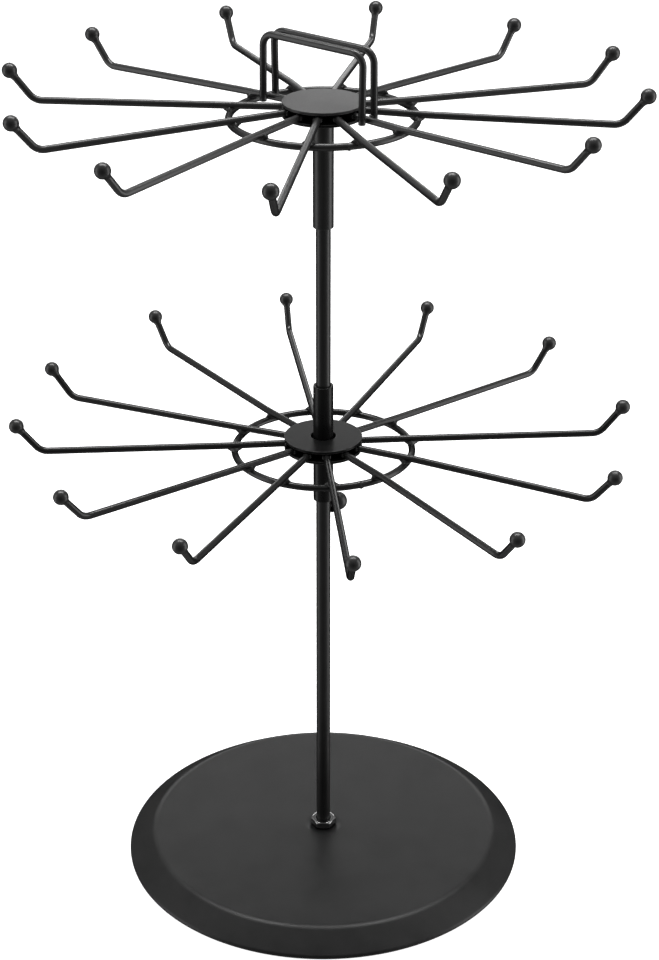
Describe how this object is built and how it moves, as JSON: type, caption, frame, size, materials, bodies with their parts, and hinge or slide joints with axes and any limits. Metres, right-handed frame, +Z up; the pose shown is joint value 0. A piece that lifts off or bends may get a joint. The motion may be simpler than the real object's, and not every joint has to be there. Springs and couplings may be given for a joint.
{
  "type": "rotating display rack",
  "caption": "Tabletop display rack: two tiers of radial ball-tipped wire hooks that turn freely on a pole over a round pressed base.",
  "frame": {"origin": "on the table under the pole's axis, at the centre of the base's rim", "axes": "+Z up along the pole; +X to the right and -Y towards the viewer of the front"},
  "size_m": [0.3377, 0.3361, 0.4866],
  "materials": {
    "powder_coat": "satin black powder coat",
    "base_coat": "satin black powder coat on pressed sheet",
    "disc_coat": "matt black powder coat",
    "plated_steel": "bright black-nickel plate"
  },
  "bodies": {
    "stand": {"base_pan": "base_coat", "pole": "powder_coat", "base_nut_upper": "plated_steel", "base_washer": "plated_steel", "base_nut_lower": "plated_steel"},
    "top_tier": {"top_hook_01": "powder_coat", "top_hook_02": "powder_coat", "top_hook_03": "powder_coat", "top_hook_04": "powder_coat", "top_hook_05": "powder_coat", "top_hook_06": "powder_coat", "top_hook_07": "powder_coat", "top_hook_08": "powder_coat", "top_hook_09": "powder_coat", "top_hook_10": "powder_coat", "top_hook_11": "powder_coat", "top_hook_12": "powder_coat", "top_upper_disc": "disc_coat", "top_lower_disc": "disc_coat", "top_ring": "powder_coat", "top_sleeve": "powder_coat", "handle_wire_front": "powder_coat", "handle_wire_rear": "powder_coat"},
    "lower_tier": {"lower_hook_01": "powder_coat", "lower_hook_02": "powder_coat", "lower_hook_03": "powder_coat", "lower_hook_04": "powder_coat", "lower_hook_05": "powder_coat", "lower_hook_06": "powder_coat", "lower_hook_07": "powder_coat", "lower_hook_08": "powder_coat", "lower_hook_09": "powder_coat", "lower_hook_10": "powder_coat", "lower_hook_11": "powder_coat", "lower_hook_12": "powder_coat", "lower_upper_disc": "disc_coat", "lower_lower_disc": "disc_coat", "lower_ring": "powder_coat", "lower_sleeve": "powder_coat"},
    "screw_shank": {"stop_screw_shank": "plated_steel"},
    "screw_head": {"stop_screw_head": "powder_coat"}
  },
  "joints": [
    {"name": "top_tier_spin", "type": "hinge", "parent": "stand", "child": "top_tier", "pos_m": [0, 0, 0.4512], "axis": [0, 0, 1], "continuous": true},
    {"name": "lower_tier_spin", "type": "hinge", "parent": "stand", "child": "lower_tier", "pos_m": [0, 0, 0.2623], "axis": [0, 0, 1], "continuous": true},
    {"name": "stop_screw_travel", "type": "slide", "parent": "stand", "child": "screw_shank", "axis": [0.7314, 0.682, 0], "range_m": [0, 0.0021]},
    {"name": "stop_screw_turn", "type": "hinge", "parent": "screw_shank", "child": "screw_head", "pos_m": [0, 0, 0.2222], "axis": [0.7314, 0.682, 0], "range_deg": [0, 1085]}
  ],
  "couplings": [
    {"joint": "stop_screw_turn", "follows": "stop_screw_travel", "rad_per_m": 8976}
  ]
}
